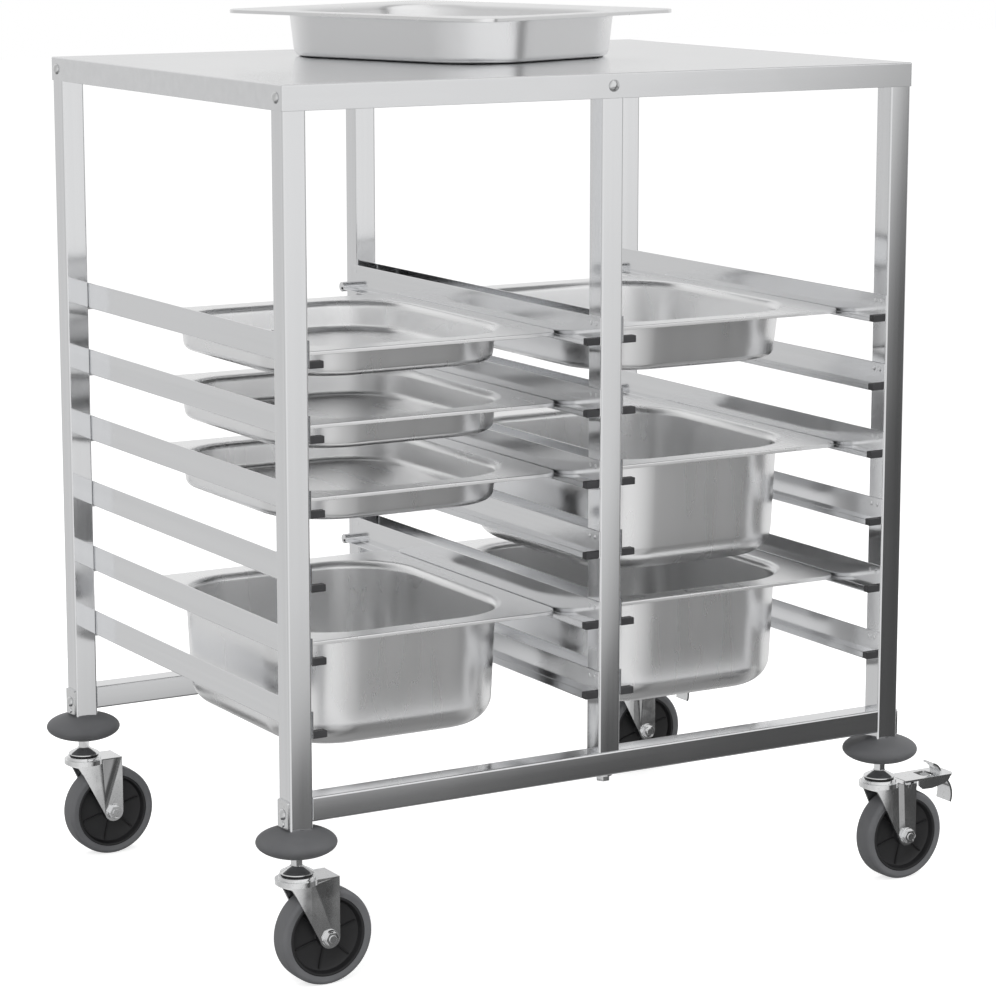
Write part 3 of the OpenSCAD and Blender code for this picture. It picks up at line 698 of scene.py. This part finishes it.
def tray_section(depth, draft, foot):
    """Section of a pressed tray as rows of (distance out from the corner's centre, height).

    The inside runs from the floor through the foot's arc, up the leaning wall and over the bend; the
    outside follows it one sheet thickness away. The wall is the common tangent of both arcs.
    """
    t, lean = TRAY_SHEET, math.radians(draft)
    bend_x = TRAY_CORNER + TRAY_BEND
    run = (depth - TRAY_BEND - foot) * math.sin(lean)
    foot_x = bend_x - (foot + TRAY_BEND - t + run) / math.cos(lean)
    inside_foot = arc((foot_x, foot - depth), foot - t, -90, -draft, 12)
    inside_bend = arc((bend_x, -TRAY_BEND), TRAY_BEND, 180 - draft, 90, 10)
    outside_bend = arc((bend_x, -TRAY_BEND), TRAY_BEND - t, 90, 180 - draft, 10)
    outside_foot = arc((foot_x, foot - depth), foot, -draft, -90, 12)
    wall = np.linspace(inside_foot[-1], inside_bend[0], 6)[1:-1]
    outer_wall = np.linspace(outside_bend[-1], outside_foot[0], 6)[1:-1]
    return (np.concatenate([inside_foot, wall, inside_bend]),
            np.concatenate([outside_bend, outer_wall, outside_foot]))


def tray_shell(size_x, size_y, depth, draft, foot):
    """A pressed tray about its own middle, with the rim's lower edge on z = 0.

    Every row is a rectangle with round corners. On the floor the rows shrink to the middle, over the
    land they grow to the rim, and the rim's outside, edge and inside turn back under the land.
    """
    half_x, half_y = size_x / 2, size_y / 2
    centre_x, centre_y = half_x - TRAY_LAND - TRAY_CORNER, half_y - TRAY_LAND - TRAY_CORNER

    def rows(section):
        out, height = section.T
        return np.stack([centre_x + out, centre_y + out, out, height], axis=-1)

    def between(first, last, shares):
        return first + (last - first) * np.asarray(shares)[:, None]

    def rim_row(inset, corner_inset, height):
        return half_x - inset, half_y - inset, RIM_CORNER - corner_inset, height

    floor_rows, under_rows = (rows(section) for section in tray_section(depth, draft, foot))
    middle_in = np.array([0, 0, 0, floor_rows[0, 3] + FLOOR_RISE])
    middle_out = np.array([0, 0, 0, under_rows[-1, 3] + FLOOR_RISE])
    t, nook = TRAY_SHEET, 0.4 * MM
    rim = [rim_row(RIM_FOLD, RIM_FOLD, 0.0)]
    for angle in np.radians((22, 45, 68, 90)):
        inset = RIM_FOLD * (1 - math.sin(angle))
        rim.append(rim_row(inset, inset, -RIM_FOLD * (1 - math.cos(angle))))
    rim += [rim_row(0, 0, CUT_EDGE - RIM_HEIGHT),
            rim_row(CUT_EDGE, CUT_EDGE, -RIM_HEIGHT),
            rim_row(t - CUT_EDGE, t, -RIM_HEIGHT),
            rim_row(t, t, CUT_EDGE - RIM_HEIGHT),
            rim_row(t, t, -t - nook),
            rim_row(t + nook, t, -t)]
    rim = np.array(rim)
    over_floor = np.array([0, 0.12, 0.25, 0.4, 0.55, 0.7, 0.83, 0.93])
    over_land = (0.2, 0.4, 0.6, 0.8)
    half_x_row, half_y_row, corner_row, height_row = np.concatenate([
        between(middle_in, floor_rows[0], over_floor), floor_rows,
        between(floor_rows[-1], rim[0], over_land), rim,
        between(rim[-1], under_rows[0], over_land), under_rows,
        between(under_rows[-1], middle_out, 1 - over_floor[::-1])]).T
    return surface(rounded_rings(half_x_row, half_y_row, corner_row, height_row + RIM_HEIGHT,
                                 arc_steps=16, side_steps=10))


def wavy(points, seed):
    """Adds the slow unevenness of pressed sheet: a few crossed sine waves, far below a millimetre high."""
    rng = np.random.default_rng(seed)
    lift = np.zeros(len(points))
    waves = 5
    for _ in range(waves):
        direction = rng.normal(size=3)
        direction *= rng.uniform(18, 45) / np.linalg.norm(direction)
        lift += np.sin(points @ direction + rng.uniform(0, 2 * np.pi))
    out = points.copy()
    out[:, 2] += TRAY_WAVE * lift / waves
    return out


def place_tray(name, node, size, finish, seed, turn=0.0):
    """A tray of a given width and length in place of a CAD node, turned about its middle."""
    low, high, middle = node_box(node)
    depth = high[2] - low[2]
    draft, foot = DEEP_FORM if depth > DEEP_TRAY_FROM else SHALLOW_FORM
    points, faces = tray_shell(size[0], size[1], depth, draft, foot)
    points = wavy(points, seed) @ about_z(turn) + [middle[0], middle[1], high[2] - RIM_HEIGHT]
    piece(name, (points, faces), finish, NODES[node]["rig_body"], node)


TRAY_NODES = sorted(node for node in NODES if node.startswith("tray_") and node != "tray_top")
for seed, node in enumerate(TRAY_NODES):
    low, high, _ = node_box(node)
    place_tray(node.replace("tray_", "pressed_tray_"), node, high - low, TRAY_STEEL, seed)
low, high, _ = node_box("tray_left_1")
place_tray("pressed_tray_on_top", "tray_top", high - low, TURNED_TRAY_STEEL, 40, TOP_TRAY_TURN)


# Bumpers and casters.

def bumper_shell(radius, thick):
    """A thick lens: an ellipse turned about Z, with small flats and a moulding line round its middle."""
    angle = np.radians(np.linspace(-82, 82, 42))
    out = radius * np.cos(angle) + np.where(np.abs(angle) < math.radians(2), 0.25 * MM, 0)
    rise = thick / 2 * 1.01 * np.sin(angle)
    lower = [(BUMPER_HOLE, -thick / 2), (out[0], -thick / 2)]
    upper = [(out[-1], thick / 2), (BUMPER_RECESS, thick / 2),
             (BUMPER_RECESS, thick / 2 - BUMPER_RECESS_DEPTH), (BUMPER_HOLE, thick / 2 - BUMPER_RECESS_DEPTH)]
    return turned(np.concatenate([lower, np.stack([out, rise], axis=-1), upper]), 96, closed=True)


def tyre_shell(outer, inner, width):
    """Tyre section turned about Z: a nearly flat tread, round shoulders and slightly dished sides."""
    half, shoulder, crown_drop, dish = width / 2, 4.5 * MM, 0.4 * MM, 0.9 * MM
    tread = np.linspace(-half + shoulder, half - shoulder, 7)
    crown = outer - crown_drop * (tread / half) ** 2
    centre = outer - crown_drop * ((half - shoulder) / half) ** 2 - shoulder
    left = arc((centre, -half + shoulder), shoulder, -90, 0, 8)[:-1]
    right = arc((centre, half - shoulder), shoulder, 0, 90, 8)[1:]
    rows = [[(inner, -half + dish)], left, np.stack([crown, tread], -1), right, [(inner, half - dish)]]
    return turned(np.concatenate(rows), 128, closed=True)


def hub_shell(outer, width, boss):
    """Wheel centre turned about Z: a lip at the rim, a recessed web and a boss."""
    half, lip, web = width / 2 - 0.5 * MM, 3.2 * MM, 5.2 * MM
    side = [(HUB_BORE, boss), (8.6 * MM, boss), (9.6 * MM, boss - 1 * MM),
            (11 * MM, web + 0.8 * MM), (12.5 * MM, web), (26 * MM, web - 0.6 * MM),
            (outer - lip - 4 * MM, web), (outer - lip - 1.6 * MM, web + 1.2 * MM),
            (outer - lip, half - 1.2 * MM), (outer - lip + 0.8 * MM, half - 0.2 * MM),
            (outer - 1 * MM, half), (outer, half - 0.6 * MM)]
    return turned(side + [(r, -z) for r, z in side[::-1]], 128, closed=True)


def hub_ribs(outer):
    """Low straight ribs on both sides of the web, from the boss to the rim, equally spaced."""
    length, height, start = outer - 16 * MM, 13 * MM, 10 * MM
    points, faces = pillow(length, 1.8 * MM, height, 0.6 * MM, 0.5 * MM)
    points = points + [length / 2 + start, 0, -height / 2]
    return [(points @ about_z(2 * math.pi * k / HUB_RIBS + 0.3), faces) for k in range(HUB_RIBS)]


for place in CORNERS:
    low, high, middle = node_box("bumper_" + place)
    shell = moved(bumper_shell((high[0] - low[0]) / 2, high[2] - low[2]), middle)
    piece("bumper_disc_" + place, shell, BUMPER_RUBBER, "frame", "bumper_" + place)

    wheel = "wheel_" + place
    low, high, middle = node_box("tyre_" + place)
    width = high[1] - low[1]
    shell = moved(along(tyre_shell((high[2] - low[2]) / 2, HUB_RADIUS, width), "Y"), middle)
    piece("wheel_tyre_" + place, shell, TYRE_RUBBER, wheel, "tyre_" + place)

    low, high, middle = node_box("hub_" + place)
    shells = [hub_shell(HUB_RADIUS - HUB_GAP, width, (high[1] - low[1]) / 2)] + hub_ribs(HUB_RADIUS)
    shell = moved(along(joined(shells), "Y"), middle)
    piece("wheel_centre_" + place, shell, HUB_PLASTIC, wheel, "hub_" + place)

    eased_copy("caster_head_" + place, "head_" + place, PLATING)
    eased_copy("caster_fork_" + place, "fork_" + place, PLATING, 0.5 * MM)
    eased_copy("caster_axle_" + place, "axle_" + place, PLATING, 0.3 * MM)

for place in ("front_right", "back_right"):
    eased_copy("brake_pedal_" + place, "pedal_" + place, PLATING, 0.4 * MM)
eased_copy("bearing_rings", "swivel_bearings", HUB_PLASTIC, 0.2 * MM)


# Floor, light and camera.

# Tones by the height of a direction, from -1 straight down to 1 straight up. The dark band below
# -0.26 is the floor close in front of the trolley.
HEIGHT_TONES = ((-1.0, 0.34), (-0.8, 0.26), (-0.6, 0.5), (-0.42, 0.68), (-0.355, 0.15),
                (-0.268, 0.14), (-0.258, 0.36), (-0.248, 0.6), (-0.2, 0.74), (-0.08, 0.86),
                (0.25, 0.92), (0.6, 0.92), (1.0, 0.9))
# The band slants by BAND_SLANT for each radian round the studio. It sinks for BAND_LEFT radians to the left
# of BAND_TURN and rises for BAND_RIGHT radians to the right of it.
BAND_TURN = 0.464
BAND_LEFT = 1.4
BAND_RIGHT = 0.3
BAND_SLANT = 0.265
# Behind the trolley the band sinks by this much more.
BAND_BEHIND = 0.3
# Tones round the studio, in degrees from the front towards the right.
TURN_TONES = ((-180, 0.88), (-152, 0.7), (-120, 0.6), (-70, 0.75), (-30, 0.95), (35, 0.97), (39.5, 0.1),
              (48, 0.1), (58, 0.7), (84, 0.8), (125, 0.86), (180, 0.88))
# These tones lean to the right, by TURN_SLANT radians for each unit of height above TURN_HEIGHT.
TURN_SLANT = 0.5
TURN_HEIGHT = -0.07
# No direction is darker than this.
LEAST_TONE = 0.075


def tone_ramp(tree, value, stops):
    """Grey tones along a value from 0 to 1, eased from each stop to the next."""
    ramp = tree.nodes.new("ShaderNodeValToRGB")
    ramp.color_ramp.interpolation = "EASE"
    while len(ramp.color_ramp.elements) < len(stops):
        ramp.color_ramp.elements.new(0.5)
    for element, (place, tone) in zip(ramp.color_ramp.elements, stops):
        element.position = place
        element.color = (tone, tone, tone, 1)
    tree.links.new(value, ramp.inputs["Fac"])
    return ramp.outputs["Color"]


def studio_tone(tree):
    """What metal mirrors: a pale studio, dark right underfoot, with a black flag at the front right.

    The first ramp runs with height, from straight down to straight up. Its dark band sinks away to the
    left and behind, and this shift fades out for steep directions. The second runs round the studio,
    from behind over the left, the front and the right to behind again, and is slanted a little.
    """
    split = tree.nodes.new("ShaderNodeSeparateXYZ")
    tree.links.new(tree.nodes.new("ShaderNodeTexCoord").outputs["Generated"], split.inputs[0])
    x, y, z = (split.outputs[axis] for axis in "XYZ")
    turn = maths(tree, "ARCTAN2", x, maths(tree, "MULTIPLY", y, -1))
    sunk = stretch(tree, turn, BAND_TURN - BAND_LEFT, BAND_TURN + BAND_RIGHT,
                   BAND_LEFT * BAND_SLANT, -BAND_RIGHT * BAND_SLANT)
    behind = stretch(tree, y, -0.2, 0.1, 0, BAND_BEHIND)
    not_steep = stretch(tree, z, -0.75, -0.5, 0, 1)
    shift = maths(tree, "MULTIPLY", maths(tree, "ADD", sunk, behind), not_steep)
    height = maths(tree, "ADD", z, shift)
    low_high = tone_ramp(tree, stretch(tree, height, -1, 1), [
        ((low + 1) / 2, tone) for low, tone in HEIGHT_TONES])
    lean = maths(tree, "MULTIPLY", maths(tree, "SUBTRACT", z, TURN_HEIGHT), TURN_SLANT)
    leaning = maths(tree, "SUBTRACT", turn, lean)
    around = tone_ramp(tree, stretch(tree, leaning, -math.pi, math.pi), [
        ((degrees + 180) / 360, tone) for degrees, tone in TURN_TONES])
    both = blended(tree, "MULTIPLY", 1.0, low_high, around)
    return blended(tree, "LIGHTEN", 1.0, both, (LEAST_TONE, LEAST_TONE, LEAST_TONE, 1))


def ray_kinds(tree):
    """Whether a ray comes straight from the camera, and whether it has been mirrored or let through."""
    path = tree.nodes.new("ShaderNodeLightPath")
    return path.outputs["Is Camera Ray"], maths(
        tree, "MAXIMUM", path.outputs["Is Glossy Ray"], path.outputs["Is Transmission Ray"])


def shaders_mixed(tree, share, first, second):
    """The first shader where the share is 0 and the second where it is 1."""
    node = tree.nodes.new("ShaderNodeMixShader")
    for value, socket in zip((share, first, second), node.inputs):
        tree.links.new(value, socket)
    return node.outputs[0]


def background(tree, colour):
    """Light of one colour from all round, or of another node's colours."""
    node = tree.nodes.new("ShaderNodeBackground")
    feed(tree, colour, node.inputs["Color"])
    return node.outputs[0]


def world_light(ambient):
    """White to the camera, the studio to mirror rays, and an even light to all else."""
    world = bpy.data.worlds.new("studio")
    bpy.context.scene.world = world
    world.use_nodes = True
    tree = world.node_tree
    tree.nodes.clear()
    from_camera, mirror_rays = ray_kinds(tree)
    soft = background(tree, (ambient, ambient, ambient, 1))
    lit = shaders_mixed(tree, mirror_rays, soft, background(tree, studio_tone(tree)))
    whole = shaders_mixed(tree, from_camera, lit, background(tree, (1, 1, 1, 1)))
    tree.links.new(whole, tree.nodes.new("ShaderNodeOutputWorld").inputs["Surface"])


def pale_floor(size, tone, glow):
    """A plain floor: white to the camera but for a faint shadow, and clear to mirror rays."""
    half = size / 2
    corners = [(-half, -half, 0), (half, -half, 0), (half, half, 0), (-half, half, 0)]
    mesh = bpy.data.meshes.new("floor")
    mesh.from_pydata(corners, [], [(0, 1, 2, 3)])
    floor = bpy.data.objects.new("floor", mesh)
    bpy.context.scene.collection.objects.link(floor)
    floor.location.z = -0.3 * MM
    made = bpy.data.materials.new("pale floor")
    made.use_nodes = True
    tree = made.node_tree
    tree.nodes.clear()
    from_camera, mirror_rays = ray_kinds(tree)
    matt = tree.nodes.new("ShaderNodeBsdfDiffuse")
    matt.inputs["Color"].default_value = (tone, tone, tone, 1)
    shine = tree.nodes.new("ShaderNodeEmission")
    shine.inputs["Strength"].default_value = glow
    lit = tree.nodes.new("ShaderNodeAddShader")
    tree.links.new(matt.outputs[0], lit.inputs[0])
    tree.links.new(shine.outputs[0], lit.inputs[1])
    clear = tree.nodes.new("ShaderNodeBsdfTransparent")
    seen = shaders_mixed(tree, from_camera, matt.outputs[0], lit.outputs[0])
    whole = shaders_mixed(tree, mirror_rays, seen, clear.outputs[0])
    tree.links.new(whole, tree.nodes.new("ShaderNodeOutputMaterial").inputs["Surface"])
    mesh.materials.append(made)


def soft_box(name, place, target, size, power):
    """A large square lamp at a place, aimed at a target, which metal doesn't mirror."""
    lamp = bpy.data.lights.new(name, "AREA")
    lamp.shape = "SQUARE"
    lamp.size = size
    lamp.energy = power
    made = bpy.data.objects.new(name, lamp)
    made.visible_glossy = False
    bpy.context.scene.collection.objects.link(made)
    made.location = place
    back = np.subtract(place, target)
    flat = math.hypot(back[0], back[1])
    made.rotation_euler = (math.atan2(flat, back[2]), 0, math.atan2(back[1], back[0]) + math.pi / 2)


def set_camera(place, yaw, pitch, lens):
    """The camera at a place in metres, turned to the right and tilted down by two angles in degrees."""
    camera = bpy.data.objects.new("camera", bpy.data.cameras.new("camera"))
    camera.data.sensor_width = 36
    camera.data.lens = lens
    camera.data.clip_start = 0.05
    camera.data.clip_end = 60
    camera.location = place
    camera.rotation_euler = (math.pi / 2 - math.radians(pitch), 0, -math.radians(yaw))
    bpy.context.scene.collection.objects.link(camera)
    bpy.context.scene.camera = camera


world_light(ambient=0.55)
pale_floor(size=30.0, tone=0.62, glow=0.72)
soft_box("key", (-2.4, -2.6, 2.6), (0, 0, 0.5), 1.8, 70)
soft_box("fill", (2.8, -1.8, 1.6), (0, 0, 0.5), 1.6, 30)
soft_box("top", (0.2, 0.6, 3.0), (0, 0, 0.6), 1.6, 40)
set_camera((-1.8182, -3.1208, 1.0923), yaw=30.25, pitch=10.637, lens=121.74)
bpy.context.scene.view_settings.view_transform = "Standard"
